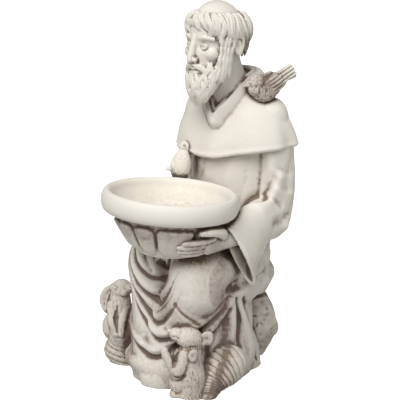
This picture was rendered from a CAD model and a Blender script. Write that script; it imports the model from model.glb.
# The looks of a cast stone friar with a bowl on the knees and small animals about the feet
import bmesh
import bpy
import numpy as np
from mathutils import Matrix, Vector


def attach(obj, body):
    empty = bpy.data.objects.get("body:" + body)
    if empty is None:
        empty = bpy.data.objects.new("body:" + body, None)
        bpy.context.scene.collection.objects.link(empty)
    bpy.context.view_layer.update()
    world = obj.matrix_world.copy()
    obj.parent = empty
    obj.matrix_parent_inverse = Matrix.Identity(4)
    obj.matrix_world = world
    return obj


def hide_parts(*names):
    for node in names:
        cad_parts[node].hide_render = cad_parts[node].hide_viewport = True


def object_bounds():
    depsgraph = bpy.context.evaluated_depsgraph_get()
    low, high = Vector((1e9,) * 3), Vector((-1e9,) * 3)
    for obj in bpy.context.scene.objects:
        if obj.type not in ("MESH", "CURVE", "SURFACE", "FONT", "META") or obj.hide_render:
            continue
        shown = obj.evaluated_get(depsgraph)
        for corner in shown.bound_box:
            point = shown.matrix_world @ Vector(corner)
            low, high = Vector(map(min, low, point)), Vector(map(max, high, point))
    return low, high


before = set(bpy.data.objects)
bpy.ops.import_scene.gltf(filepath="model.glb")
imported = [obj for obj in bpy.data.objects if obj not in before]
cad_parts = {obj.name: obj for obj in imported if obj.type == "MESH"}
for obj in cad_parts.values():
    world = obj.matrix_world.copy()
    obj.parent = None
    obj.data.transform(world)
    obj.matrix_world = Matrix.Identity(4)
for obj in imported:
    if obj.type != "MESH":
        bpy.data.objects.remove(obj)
cadLow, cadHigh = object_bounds()

# Forms are drawn on the figure's own grid, one unit to a millimetre, with the figure facing -Y
grid = {"unit": 0.001, "shift": (0.02279, 0.08727, 0.0)}
# Cell of the grid on which the forms of each piece are fused, in the figure's units
cells = {"head": 0.85, "cape": 1.6, "upper": 1.8, "lower": 1.65, "hands": 1.05, "rock": 1.7,
         "rabbit": 1.05, "squirrel": 1.0, "bird": 0.8}
coarse = 1.0


# Basic surfaces

# Catmull-Rom curve: each stretch is a cubic through its two rows that heads for the rows around it
def smoothPath(rows, count):
    rows = np.asarray(rows, float)
    ends = np.vstack([2 * rows[0] - rows[1], rows, 2 * rows[-1] - rows[-2]])
    along = np.linspace(0, len(rows) - 1, count)
    start = np.minimum(along.astype(int), len(rows) - 2)
    part = (along - start)[:, None]
    a, b, c, d = (ends[start + shift] for shift in range(4))
    cubic = 3 * b - a - 3 * c + d
    return 0.5 * (2 * b + (c - a) * part + (2 * a - 5 * b + 4 * c - d) * part ** 2 + cubic * part ** 3)


# Each row divided by its own length
def unitRows(rows):
    return rows / np.maximum(np.linalg.norm(rows, axis=-1, keepdims=True), 1e-9)


# Rotation matrix about X, then Y, then Z
def turning(xDeg, yDeg, zDeg):
    a, b, c = np.radians((xDeg, yDeg, zDeg))
    aboutX = np.array(((1, 0, 0), (0, np.cos(a), -np.sin(a)), (0, np.sin(a), np.cos(a))))
    aboutY = np.array(((np.cos(b), 0, np.sin(b)), (0, 1, 0), (-np.sin(b), 0, np.cos(b))))
    aboutZ = np.array(((np.cos(c), -np.sin(c), 0), (np.sin(c), np.cos(c), 0), (0, 0, 1)))
    return aboutZ @ aboutY @ aboutX


# Closed shell through a stack of rings, each end closed to its own middle
def loft(rings):
    rings = np.asarray(rings, float)
    count, around = rings.shape[:2]
    points = np.vstack([rings.reshape(-1, 3), rings[0].mean(0), rings[-1].mean(0)])
    low = np.arange(count - 1)[:, None] * around
    here = np.arange(around)
    after = (here + 1) % around
    quads = np.stack([low + here, low + after, low + around + after, low + around + here], -1)
    first, last = count * around, count * around + 1
    top = (count - 1) * around
    startCap = np.stack([np.full(around, first), after, here], -1)
    endCap = np.stack([np.full(around, last), here + top, after + top], -1)
    return points, quads.reshape(-1, 4).tolist() + startCap.tolist() + endCap.tolist()


# Rings that shrink towards the middle of the first and the last ring, so that no face there is a large one
def withEnds(rings, steps):
    share = (np.arange(steps) + 1)[:, None, None] / (steps + 1)
    first, last = rings[0].mean(0), rings[-1].mean(0)
    return np.concatenate([first + (rings[0] - first) * share, rings, last + (rings[-1] - last) * share[::-1]])


# Tube with rounded ends: an ellipse carried along a curve; a row is x, y, z, half width, half thickness. Strands
# swell the ellipse by a cosine of its turn, so that they run along the tube.
def limb(rows, side=(1, 0, 0), around=22, along=30, cap=6, strands=0, depth=0.0):
    path = smoothPath(rows, along)
    centre, wide, thick = path[:, :3], path[:, 3], path[:, 4]
    run = unitRows(np.gradient(centre, axis=0))
    side = np.asarray(side, float)
    across = unitRows(side - run * (run @ side)[:, None])
    upward = np.cross(run, across)
    bend = np.linspace(0, np.pi / 2, cap + 1)[1:-1]
    lead, tail = min(wide[0], thick[0]), min(wide[-1], thick[-1])
    shrink = np.concatenate([np.cos(bend[::-1]), np.ones(along), np.cos(bend)])
    pick = np.concatenate([np.zeros(cap - 1, int), np.arange(along), np.full(cap - 1, along - 1)])
    push = np.concatenate([-lead * np.sin(bend[::-1]), np.zeros(along), tail * np.sin(bend)])
    middle = centre[pick] + run[pick] * push[:, None]
    turn = np.linspace(0, 2 * np.pi, around, endpoint=False)
    swell = (1 + depth * np.cos(strands * turn))[None, :, None]
    armA = (across[pick] * (wide[pick] * shrink)[:, None])[:, None, :] * np.cos(turn)[None, :, None]
    armB = (upward[pick] * (thick[pick] * shrink)[:, None])[:, None, :] * np.sin(turn)[None, :, None]
    return loft(middle[:, None, :] + (armA + armB) * swell)


# Closed hoop: an ellipse carried round a closed curve, leaning with the slope of the hoop
def band(rows, around=20, along=110):
    rows = np.asarray(rows, float)
    path = smoothPath(np.vstack([rows[-2:], rows, rows[:2]]), along * 2)
    first = np.argmin(np.linalg.norm(path[:along, :3] - rows[0, :3], axis=1))
    last = along + np.argmin(np.linalg.norm(path[along:, :3] - rows[0, :3], axis=1))
    path = path[first:last]
    centre = path[:, :3]
    run = unitRows(np.roll(centre, -1, 0) - np.roll(centre, 1, 0))
    slope = unitRows(np.cross(run, unitRows(centre - centre.mean(0))))
    outward = np.cross(slope, run)
    turn = np.linspace(0, 2 * np.pi, around, endpoint=False)
    ring = (slope * path[:, 3:4])[:, None] * np.cos(turn)[None, :, None]
    ring = ring + (outward * path[:, 4:5])[:, None] * np.sin(turn)[None, :, None]
    count = len(path)
    low = np.arange(count)[:, None] * around
    high = ((np.arange(count) + 1) % count)[:, None] * around
    here = np.arange(around)
    after = (here + 1) % around
    faces = np.stack([low + here, low + after, high + after, high + here], -1).reshape(-1, 4)
    return (centre[:, None] + ring).reshape(-1, 3), faces.tolist()


# Ellipsoid as a stack of rings whose radii follow a cosine
def ball(centre, radii, turnDeg=(0, 0, 0), around=28, rows=20):
    lift = np.linspace(-np.pi / 2, np.pi / 2, rows + 2)[1:-1]
    turn = np.linspace(0, 2 * np.pi, around, endpoint=False)
    rings = np.stack(np.broadcast_arrays(
        np.cos(lift)[:, None] * np.cos(turn),
        np.cos(lift)[:, None] * np.sin(turn),
        np.sin(lift)[:, None] * np.ones(around)), -1) * np.asarray(radii, float)
    return loft(rings @ turning(*turnDeg).T + np.asarray(centre, float))


# Stack of rounded rings; a level is z, middle x, middle y, half width, half depth; power 2 is an ellipse
def ringStack(levels, around=96, count=60, power=2.0, ripple=None, ends=0):
    path = smoothPath(levels, count)
    turn = np.linspace(0, 2 * np.pi, around, endpoint=False)
    sine = np.sign(np.sin(turn)) * np.abs(np.sin(turn)) ** (2 / power)
    cosine = np.sign(np.cos(turn)) * np.abs(np.cos(turn)) ** (2 / power)
    swell = np.ones((count, around)) if ripple is None else 1 + ripple(turn[None, :], path[:, :1])
    x = path[:, 1:2] + path[:, 3:4] * sine * swell
    y = path[:, 2:3] - path[:, 4:5] * cosine * swell
    return loft(withEnds(np.stack([x, y, np.broadcast_to(path[:, :1], x.shape)], -1), ends))


# Shell turned over from left to right: x changes sign, and each face is read backwards so that it still faces out
def mirrored(shell):
    points, faces = shell
    return points * np.array((-1, 1, 1)), [face[::-1] for face in faces]


# The shells of one side and their mirror images
def bothSides(shells):
    return shells + [mirrored(shell) for shell in shells]


# Fusing and carving

# One object of several shells: their points are stacked, and a shell's corners move up by the points before it
def joinedObject(name, shells):
    starts = np.cumsum([0] + [len(shell[0]) for shell in shells])
    faces = [[corner + int(start) for corner in face]
             for start, shell in zip(starts, shells) for face in shell[1]]
    mesh = bpy.data.meshes.new(name)
    mesh.from_pydata(np.vstack([shell[0] for shell in shells]).tolist(), [], faces)
    solid = bpy.data.objects.new(name, mesh)
    bpy.context.collection.objects.link(solid)
    return solid


# Points and four-sided faces of an object with its modifiers; the object is then removed
def evaluatedArrays(solid):
    finished = solid.evaluated_get(bpy.context.evaluated_depsgraph_get()).to_mesh()
    points = np.empty(len(finished.vertices) * 3)
    finished.vertices.foreach_get("co", points)
    corners = np.empty(len(finished.loops), np.int32)
    finished.loops.foreach_get("vertex_index", corners)
    starts = np.empty(len(finished.polygons), np.int32)
    finished.polygons.foreach_get("loop_start", starts)
    bpy.data.objects.remove(solid)
    return points.reshape(-1, 3), corners[starts[:, None] + np.arange(4)]


# Sum of the crossed diagonals of the faces round each point, made one long
def pointNormals(points, quads):
    across = np.cross(points[quads[:, 2]] - points[quads[:, 0]], points[quads[:, 3]] - points[quads[:, 1]])
    normals = np.stack([sum(np.bincount(quads[:, corner], across[:, axis], len(points)) for corner in range(4))
                        for axis in range(3)], -1)
    return unitRows(normals)


# Shells run together on an even grid of cells and softened as clay would be: points, normals and faces
def fuse(name, shells, cell, soften=3):
    solid = joinedObject(name, shells)
    remesh = solid.modifiers.new("fuse", 'REMESH')
    remesh.mode = 'VOXEL'
    remesh.voxel_size = cell * coarse
    smooth = solid.modifiers.new("soften", 'SMOOTH')
    smooth.factor = 0.5
    smooth.iterations = soften
    points, quads = evaluatedArrays(solid)
    return points, pointNormals(points, quads), quads


# 1 on a curve drawn over a surface and falling as a bell away from it, measured along the surface
def nearPath(points, normals, path, width, reachIn=16.0):
    curve = smoothPath(path, 4 * len(path) + 6)
    low, high = curve.min(0) - 3 * width - reachIn, curve.max(0) + 3 * width + reachIn
    near = np.flatnonzero(((points > low) & (points < high)).all(1))
    place, normal = points[near], normals[near]
    nearest = np.full(len(near), np.inf)
    for base, way in zip(curve[:-1], np.diff(curve, axis=0)):
        offset = place - base
        offset = offset - np.clip(offset @ way / (way @ way), 0, 1)[:, None] * way
        depth = np.abs((offset * normal).sum(1))
        flat = np.sqrt(np.clip((offset ** 2).sum(1) - depth ** 2, 0, None)) + 4 * np.clip(depth - reachIn, 0, None)
        nearest = np.minimum(nearest, flat)
    found = np.zeros(len(points))
    found[near] = np.exp(-(nearest / width) ** 2)
    return found


# Bell that is 1 at a place and falls to nothing a few radii away
def nearPlace(points, centre, radius):
    return np.exp(-(((points - np.asarray(centre, float)) / radius) ** 2).sum(1))


# Lift along the normals: the sum of a form's folds, each a height times the bell round its path, and of its pits,
# each a height times the bell round its middle. A height below zero cuts in.
def carving(points, normals, form):
    lift = np.zeros(len(points))
    for height, width, path in form.get("folds", ()):
        lift += height * nearPath(points, normals, path, width)
    for height, radius, centre in form.get("pits", ()):
        lift += height * nearPlace(points, centre, radius)
    return lift


# Value noise: a whole-number scramble gives each lattice corner its value, blended smoothly in between; -1 to 1
def latticeNoise(points, cell, seed=0):
    place = points / np.asarray(cell, float) + 1000.0
    base = np.floor(place).astype(np.int64)
    part = place - base
    part = part * part * (3 - 2 * part)
    total = np.zeros(len(points))
    for corner in range(8):
        step = np.array((corner & 1, corner >> 1 & 1, corner >> 2 & 1))
        spot = base + step
        mixed = spot[:, 0] * 73856093 ^ spot[:, 1] * 19349663 ^ spot[:, 2] * 83492791 ^ seed * 40503
        mixed = ((mixed ^ mixed >> 13) * 1274126177) & 0x7fffffff
        mixed = (mixed ^ mixed >> 15) & 0xffff
        weight = np.where(step == 1, part, 1 - part).prod(1)
        total += weight * mixed / 0xffff
    return 2 * total - 1


# Noise on cells that halve three times, each at half the strength of the one before
def layeredNoise(points, cell, seed=0, layers=3):
    cell = np.asarray(cell, float)
    return sum(latticeNoise(points, cell / 2 ** layer, seed + layer) / 2 ** layer for layer in range(layers))


# Unevenness of a cast surface: broad lumps and fine grit, each a height times layered noise on cells of its own
def unevenness(points, uneven, seed):
    lump, lumpCell, grit, gritCell = uneven
    return lump * layeredNoise(points, lumpCell, seed) + grit * layeredNoise(points, gritCell, seed + 1)


# Sharp valleys between round ridges, -1 in a valley and 1 on a ridge
def ridges(phase, sharpness=0.6):
    return 2 * np.abs(np.sin(phase / 2)) ** sharpness - 1


# Finished pieces: each object with the name of its finish
pieces = []


# Figure's grid to the shared frame: times a millimetre, plus the shift
def toRow(points):
    return points * grid["unit"] + np.asarray(grid["shift"])


# Everything under the floor is cut away and the cut closed with one flat face
def cutFlat(mesh):
    work = bmesh.new()
    work.from_mesh(mesh)
    everything = work.verts[:] + work.edges[:] + work.faces[:]
    cut = bmesh.ops.bisect_plane(work, geom=everything, dist=1e-6, plane_co=(0, 0, 0), plane_no=(0, 0, 1),
                                 clear_inner=True)
    rim = [item for item in cut["geom_cut"] if isinstance(item, bmesh.types.BMEdge)]
    bmesh.ops.holes_fill(work, edges=rim, sides=0)
    work.to_mesh(mesh)
    work.free()


# Object of a piece from its points and faces, with its place in its mesh; one on the floor is cut flat there
def makePiece(name, points, faces, finish, onFloor=False):
    mesh = bpy.data.meshes.new(name)
    faces = faces.tolist() if hasattr(faces, "tolist") else faces
    mesh.from_pydata(toRow(points).tolist(), [], faces)
    if onFloor:
        cutFlat(mesh)
    mesh.shade_smooth()
    piece = bpy.data.objects.new(name, mesh)
    bpy.context.collection.objects.link(piece)
    pieces.append((piece, finish))
    print("made", name, len(mesh.loops) - 2 * len(mesh.polygons), "triangles")
    return piece


# Head
headForm = {
    "centre": np.array((-1.0, -47.0, 440.0)), "turn": -12, "nod": 4,
    "eye": np.array((13.0, -30.6, -5.0)), "eyeRadius": 5.4, "lidRadius": 0.9,
    "irisRadius": 2.7, "irisLine": 0.55, "irisDepth": 0.45, "pupilRadius": 1.1, "pupilDepth": 0.9,
    # Middle of the skull and its half width, half depth and half height, on which the hair lies
    "skullMiddle": (0.0, 4.0, 10.0), "skull": (34.0, 38.5, 35.0),
    # Rounds of locks: how many, their width, their place off the skull, where they start in degrees up, how much longer
    "hairRounds": ((16, 6.0, -2.2, 41, 0), (24, 4.5, -0.4, 38, 6), (24, 4.5, 1.2, 42, 0)),
    "strandDepth": 0.10, "curl": 0.2,
    # Hollows of the skull on the left side: eye socket, temple and cheek
    "skullSide": {"pits": ((-3.0, (9.0, 9, 5.6), (13, -35.6, -4.5)), (-1.8, (8, 10, 12), (27, -14, 6)),
                           (-1.2, (7, 8, 10), (22, -28, -30)))},
    # Nostril, inside of the ear and wing of the nose, on the left side
    "featureSide": {"pits": ((-1.6, (1.5, 2.2, 1.5), (3.0, -45.4, -25.4)), (-1.7, (4, 3.4, 5.5), (39, 3.5, -8))),
                    "folds": ((-0.8, 1.2, ((6, -43, -17), (8.6, -40, -21), (8, -39, -25))),)},
    # Line between the lips and the groove over them
    "mouth": {"folds": ((-0.8, 1.0, ((-10, -38, -35.2), (-4, -42, -34.8), (0, -42.6, -35.4), (4, -42, -34.8),
                                     (10, -38, -35.2))),
                        (-0.7, 1.3, ((0, -43, -27), (0, -42, -30))))},
    "browPath": ((3, -40, 6), (13, -40, 10), (23, -32, 8)), "browWidth": 2.2, "browDepth": 0.25, "grit": 0.10,
}


# Carving of one side laid on both: the points and normals are mirrored under the same paths and places
def carvedBothSides(points, normals, form):
    return sum(carving(points * (side, 1, 1), normals * (side, 1, 1), form) for side in (-1, 1))


# Lid: a thin tube over the eyeball, on an arc that rises to peakDeg between the two corners of the eye
def eyeLid(peakDeg, cornerDeg):
    turn = np.radians(np.linspace(-68, 66, 9))
    lift = np.radians(cornerDeg + (peakDeg - cornerDeg) * np.cos(turn * 1.32) ** 0.8)
    reach = headForm["eyeRadius"] + 0.35
    middle = headForm["eye"] + reach * np.stack(
        [np.sin(turn) * np.cos(lift), -np.cos(turn) * np.cos(lift), np.sin(lift)], -1)
    thick = headForm["lidRadius"] * (0.7 + 0.3 * np.cos(turn))
    return limb(np.column_stack([middle, thick, thick]), side=(0, 0, 1), around=10, along=24, cap=4)


# Face and neck: ellipsoids and tubes run together, then pressed in where the skull is hollow
def faceForms():
    forms = [
        ball((0, 3, 8), (31.5, 37, 39)),  # skull
        limb([(0, -10, 14, 27, 26), (0, -13, -14, 27, 27), (0, -15, -36, 23, 23), (0, -16, -50, 15, 17)]),  # face
        limb([(0, -18, -36, 23, 18), (0, -22, -50, 23, 18), (0, -26, -62, 18, 14), (0, -29, -70, 12, 10)]),
    ]
    forms += bothSides([
        limb([(4, -34.4, 3.5, 3.4, 3.2), (14, -33.6, 6.5, 3.6, 3.4), (24, -26, 4, 3.4, 3.2)]),
        ball((18, -25, -15), (10, 10, 10)),  # cheek
        limb([(31, -6, -6, 4.5, 7.5), (30, -11, -28, 5.5, 8.5), (23, -18, -46, 7.5, 8.5)]),
    ])
    points, normals, quads = fuse("face_form", forms, cells["head"] * 1.4)
    lift = carvedBothSides(points, normals, headForm["skullSide"])
    return points + normals * lift[:, None], quads.tolist()


# Nose and lips in the middle; eyeball, lids, nostril wing, brow, moustache, chin and ear on both sides
def features():
    forms = [
        limb([(0, -34.5, 7, 4.4, 4), (0, -39.5, -5, 4.2, 4.5), (0, -43.5, -15, 4.8, 5), (0, -45.5, -20, 5.2, 4.6)]),
        ball((0, -45.8, -20.5), (4.8, 4.6, 4.4)),
        limb([(-10.5, -36, -34, 1.6, 1.8), (-5, -39.6, -32.6, 2.1, 2.4), (0, -40.6, -33.3, 2, 2.6),
              (5, -39.6, -32.6, 2.1, 2.4), (10.5, -36, -34, 1.6, 1.8)], side=(0, 0, 1), around=14),
        limb([(-9, -36, -36.4, 1.8, 2), (0, -40, -38, 2.9, 3), (9, -36, -36.4, 1.8, 2)], side=(0, 0, 1), around=14),
    ]
    forms += bothSides([
        ball(headForm["eye"], (headForm["eyeRadius"],) * 3),
        eyeLid(34, -4),
        eyeLid(-31, -7),
        ball((5, -42.2, -21.5), (3.5, 4.2, 3.4), (0, 0, 20)),
        limb([(6, -36.2, 6.0, 0.7, 0.7), (13, -36.2, 8.6, 1.1, 0.9), (20.5, -31.4, 7.4, 0.6, 0.6)], around=12),
        limb([(0.6, -41.6, -28, 2.8, 2.6), (8, -39.4, -30.4, 3.8, 3.8), (15.5, -33.6, -37, 4.4, 4.2),
              (21, -26, -49, 3.0, 3.4)], around=30, strands=6, depth=0.07),
        ball((5, -34, -43.5), (8, 5.4, 6.2)),
        ball((35.3, 5, -9), (3.2, 7, 12.5), (12, 0, -14)),
        limb([(36.5, -2.2, -9, 1.6, 2), (37.6, -1, 0, 1.7, 2), (38.6, 5, 4.4, 1.8, 2.1), (39.2, 11, -0.5, 1.8, 2.1),
              (38.2, 11, -9, 1.7, 2), (36.6, 6, -18, 2.3, 2.5)], around=12),
    ])
    return forms


beardForm = {
    "levels": (-80, -74, -66, -56, -46, -34, -24),
    "wide": (8, 13, 18, 22, 24.5, 25.5, 27), "deep": (7, 11, 15, 18.5, 20.5, 21, 21),
    "middle": (-30, -29, -27.5, -25, -21.5, -17.5, -14),
    # Tiers of locks: top, bottom, how many, and how far round to each side in degrees
    "tiers": ((-26, -50, 12, 86), (-38, -62, 11, 78), (-48, -72, 9, 70), (-58, -80, 7, 60)),
    # The mouth stays bare: no lock starts over this height within this turn
    "bareOver": -36, "bareTurn": 34,
    "lockSize": (2.0, 3.1, 3.5, 3.5, 3.1, 2.3, 0.8),
    # Locks before the ear: their tops and bottoms, and their thickness from top to end
    "sideTiers": ((12, -10), (-3, -24), (-16, -36), (-28, -46)), "sideSize": (1.6, 2.7, 2.9, 2.5, 1.1),
}


# Outer size of the beard at a height, read from its levels: half width, half depth and middle depth
def beardSize(height):
    return [np.interp(height, beardForm["levels"], beardForm[name]) for name in ("wide", "deep", "middle")]


# Locks of the beard in tiers: each runs down the beard's outer form with a wave and curls to a pointed end
def beardLocks(random):
    locks = []
    for top, bottom, count, spread in beardForm["tiers"]:
        for turnDeg in np.linspace(-spread, spread, count):
            if top > beardForm["bareOver"] and abs(turnDeg) < beardForm["bareTurn"]:
                continue
            height = np.linspace(top, bottom + random.uniform(-3, 3), 7)
            wave = 6 * np.sin(np.linspace(0, 5.4, 7) + random.uniform(0, 6)) + 5 * np.linspace(0, 1, 7) ** 3
            turn = np.radians(turnDeg + random.uniform(-3, 3) + wave * (1 if turnDeg < 0 else -1))
            wide, deep, middle = beardSize(height)
            x, y = wide * np.sin(turn), middle - deep * np.cos(turn)
            size = np.array(beardForm["lockSize"]) * random.uniform(0.85, 1.1)
            side = (np.cos(turn[3]), np.sin(turn[3]), 0)
            locks.append(limb(np.stack([x, y, height, size, size], -1), side, 30, 22, 3, 6, 0.17))
    return locks


# Locks before each ear, which join the hair to the beard
def sideLocks(random):
    locks = []
    for column, forward in enumerate(np.linspace(-3, -17, 4)):
        for top, bottom in beardForm["sideTiers"]:
            top, bottom = top + random.uniform(-2, 2), bottom + random.uniform(-2, 2)
            height = np.linspace(top, bottom, 5)
            inward = 0.09 * np.abs(2 - height) + 0.020 * (forward + 2) ** 2
            y = forward - 0.16 * (2 - height) + 1.1 * np.sin(np.linspace(0, 4, 5) + column + top)
            size = np.array(beardForm["sideSize"])
            locks.append(limb(np.stack([35.4 - inward, y, height, size, size], -1), (0, 1, 0), 26, 16, 3, 6, 0.13))
    return bothSides(locks)


# Locks of the hair ring: from the edge of the bald crown each swells and curls to a pointed end, short over the brow
# and hanging straight to the nape behind
def hairLocks(random, count, width, outward, startDeg, longer):
    skullWide, skullDeep, skullHigh = headForm["skull"]
    middleY, middleZ = headForm["skullMiddle"][1:]
    locks = []
    for number in range(count):
        turn = 2 * np.pi * (number + 0.5 * (longer > 0)) / count
        back = 0.5 - 0.5 * np.cos(turn)
        ending = 13 - 70 * back ** 0.75 - longer + random.uniform(-4, 4)
        lift = np.radians(np.linspace(startDeg - 16 * back + random.uniform(-1.5, 1.5), ending, 8))
        hang = np.maximum(lift, -0.42)
        curl = headForm["curl"] * np.linspace(0, 1, 8) ** 2 * random.choice((-0.4, 1.0, 1.3))
        wave = 0.06 * np.sin(np.linspace(0, 5.5, 8) + random.uniform(0, 6)) + curl
        bend = turn + wave * np.sign(np.pi - turn)
        reach = outward + (1.4 + 2.2 * back) * np.sin(np.linspace(0.1, 2.7, 8)) + random.uniform(-0.6, 0.6)
        x = (skullWide + reach) * np.cos(hang) * np.sin(bend)
        y = middleY - (skullDeep + reach) * np.cos(hang) * np.cos(bend)
        z = middleZ + (skullHigh + reach) * (np.sin(hang) + lift - hang)
        size = width * np.array((0.7, 0.95, 1.1, 1.12, 1.05, 0.9, 0.65, 0.25)) * random.uniform(0.88, 1.12)
        rows = np.stack([x, y, z, size, size * 0.95], -1)
        locks.append(limb(rows, (-(y[3] - middleY), x[3], 0), 40, 26, 4, 7, 0.14))
    return locks


# Head: all its forms fused, then lifted along the normals by irises, mouth, strands of hair and beard, and brows
def headPiece():
    random = np.random.default_rng(11)
    forms = [faceForms()] + features() + beardLocks(random)
    forms += sideLocks(random)
    for hairRound in headForm["hairRounds"]:
        forms += hairLocks(random, *hairRound)
    points, normals, quads = fuse("head_form", forms, cells["head"], 1)
    x, y, z = points.T
    lift = carvedBothSides(points, normals, headForm["featureSide"]) + carving(points, normals, headForm["mouth"])
    for side in (-1, 1):
        eye = headForm["eye"] * (side, 1, 1) + (0, -headForm["eyeRadius"], 0)
        fromIris = np.hypot(x - eye[0] + 0.6, z - eye[2]) + 9 * (np.abs(y - eye[1]) > 2.2)
        lift -= headForm["irisDepth"] * np.exp(-((fromIris - headForm["irisRadius"]) / headForm["irisLine"]) ** 2)
        lift -= headForm["pupilDepth"] * np.exp(-(fromIris / headForm["pupilRadius"]) ** 2)
    skullWide, skullDeep, skullHigh = headForm["skull"]
    middleY, middleZ = headForm["skullMiddle"][1:]
    around = np.arctan2(x, middleY - y)
    back = 0.5 - 0.5 * np.cos(around)
    fromCrown = np.sqrt((x / skullWide) ** 2 + ((y - middleY) / skullDeep) ** 2
                        + ((z - middleZ) / (skullHigh + 1)) ** 2)
    rise = np.degrees(np.arctan2(z - middleZ, np.hypot(x, y - middleY)))
    hair = np.clip((fromCrown - 1.03) * 16, 0, 1) * (rise < 47 - 16 * back) * (rise > -8 - 50 * back ** 0.8)
    hair *= 1 - nearPlace(points, (38, 4, -9), (7, 9, 15)) - nearPlace(points, (-38, 4, -9), (7, 9, 15))
    strand = ridges(around * 120 + 2.2 * np.sin(z / 6) + 2 * latticeNoise(points, 9, 3), 0.8)
    lift += headForm["strandDepth"] * strand * np.clip(hair, 0, 1)
    wide, deep, middle = beardSize(z)
    beardAround = np.arctan2(x / wide, -(y - middle) / deep)
    beard = np.clip((-24 - z) / 6, 0, 1) * np.clip((z + 84) / 6, 0, 1) * (np.abs(beardAround) < 1.7)
    beard *= 1 - nearPlace(points, (0, -40, -34.5), (12, 8, 4.6))
    beard *= np.clip((np.hypot(x / wide, (y - middle) / deep) - 0.88) * 12, 0, 1)
    curls = ridges(beardAround * 58 + 2.4 * np.sin(z / 3.4 + 3 * latticeNoise(points, 8, 5)), 0.8)
    lift += headForm["strandDepth"] * curls * beard
    brow = carvedBothSides(points, normals, {"folds": ((1.0, headForm["browWidth"], headForm["browPath"]),)})
    lift += headForm["browDepth"] * brow * np.sin(np.abs(x) * 2.6 - z * 1.6)
    lift += headForm["grit"] * layeredNoise(points, 2.4, 7)
    turn = turning(headForm["nod"], 0, headForm["turn"])
    makePiece("head", (points + normals * lift[:, None]) @ turn.T + headForm["centre"], quads, "skin")


# Neck, collar, hood and shoulder cape
capeForm = {
    "levels": [(293, 0, -2, 84, 59), (300, 0, -2, 86, 60), (314, 0, -2, 83, 57), (328, 0, -2, 78, 52),
               (341, 0, -3, 71, 46), (352, 0, -4, 62, 40), (362, 0, -6, 49, 34), (371, 0, -9, 37, 30),
               (380, 0, -14, 29, 27)],
    "collar": [(4, -58, 331, 8, 4), (11, -51, 341, 11, 4.5), (21, -39, 354, 12, 5), (31, -15, 375, 12, 5),
               (32, 8, 382, 12, 6), (15, 24, 384, 12, 7), (-13, 24, 384, 12, 7), (-33, 8, 382, 12, 6),
               (-32, -15, 374, 12, 5), (-18, -41, 353, 12, 5), (-6, -52, 340, 11, 4.5)],
    "inner": [(1, -50, 341, 6, 3), (8, -42, 350, 8, 3), (17, -31, 360, 9, 3), (25, -10, 381, 9, 4),
              (24, 6, 386, 9, 4), (10, 18, 388, 9, 4), (-10, 18, 388, 9, 4), (-26, 5, 386, 9, 4),
              (-27, -10, 380, 9, 4), (-15, -33, 359, 9, 3), (-6, -43, 349, 8, 3)],
    "hood": [(0, 22, 377, 28, 15), (0, 36, 356, 35, 18), (0, 47, 330, 28, 15), (0, 50, 300, 8, 9)],
    "throat": [(0, -14, 344, 32, 30), (0, -18, 366, 26, 26), (0, -24, 386, 24, 25), (0, -34, 408, 23, 24)],
    "hemHeight": 293, "hemLip": 1.5, "uneven": (0.35, 22, 0.10, 3.5),
    "folds": [(-2.5, 5, ((-30, 44, 364), (-10, 62, 338), (0, 66, 326), (10, 62, 338), (30, 44, 364))),
              (-2.0, 4, ((-20, 50, 366), (0, 62, 346), (20, 50, 366))),
              (1.8, 5, ((-26, 48, 360), (0, 64, 334), (26, 48, 360)))],
}


# Height of the hem round the cape: lower in front and lifted over the left arm
def capeHem(turn):
    return -6 * np.cos(turn) + 5 * np.sin(turn) - 2 * np.cos(3 * turn)


# Cape: stacked ellipses whose radius waves with the turn, more and more towards a hem that rises and falls
def capeShell():
    def folds(turn, height):
        grow = np.clip((372 - height) / 75, 0, 1) ** 1.5
        groove = np.exp(-((turn - np.radians(303)) / 0.09) ** 2)
        return grow * (0.022 * np.sin(7 * turn + 1.1) + 0.014 * np.sin(11 * turn + 0.4) - 0.09 * groove)

    points, faces = ringStack(capeForm["levels"], around=220, count=90, ripple=folds)
    turn = np.arctan2(points[:, 0], -points[:, 1] - 2)
    points[:, 2] += capeHem(turn) * np.clip((345 - points[:, 2]) / 45, 0, 1)
    return points, faces


# Collar, hood, throat and cape fused, with a raised lip along the hem
def capePiece():
    forms = [limb(capeForm["throat"], around=40), band(capeForm["collar"]), band(capeForm["inner"]),
             limb(capeForm["hood"], around=40), capeShell()]
    points, normals, quads = fuse("cape_form", forms, cells["cape"], 2)
    turn = np.arctan2(points[:, 0], -points[:, 1] - 2)
    hem = capeForm["hemHeight"] + capeHem(turn)
    lift = capeForm["hemLip"] * np.exp(-((points[:, 2] - hem - 4) / 3.0) ** 2) * (np.abs(normals[:, 2]) < 0.8)
    lift += carving(points, normals, capeForm) + unevenness(points, capeForm["uneven"], 21)
    makePiece("cape_and_hood", points + normals * lift[:, None], quads, "cloth")


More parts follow.
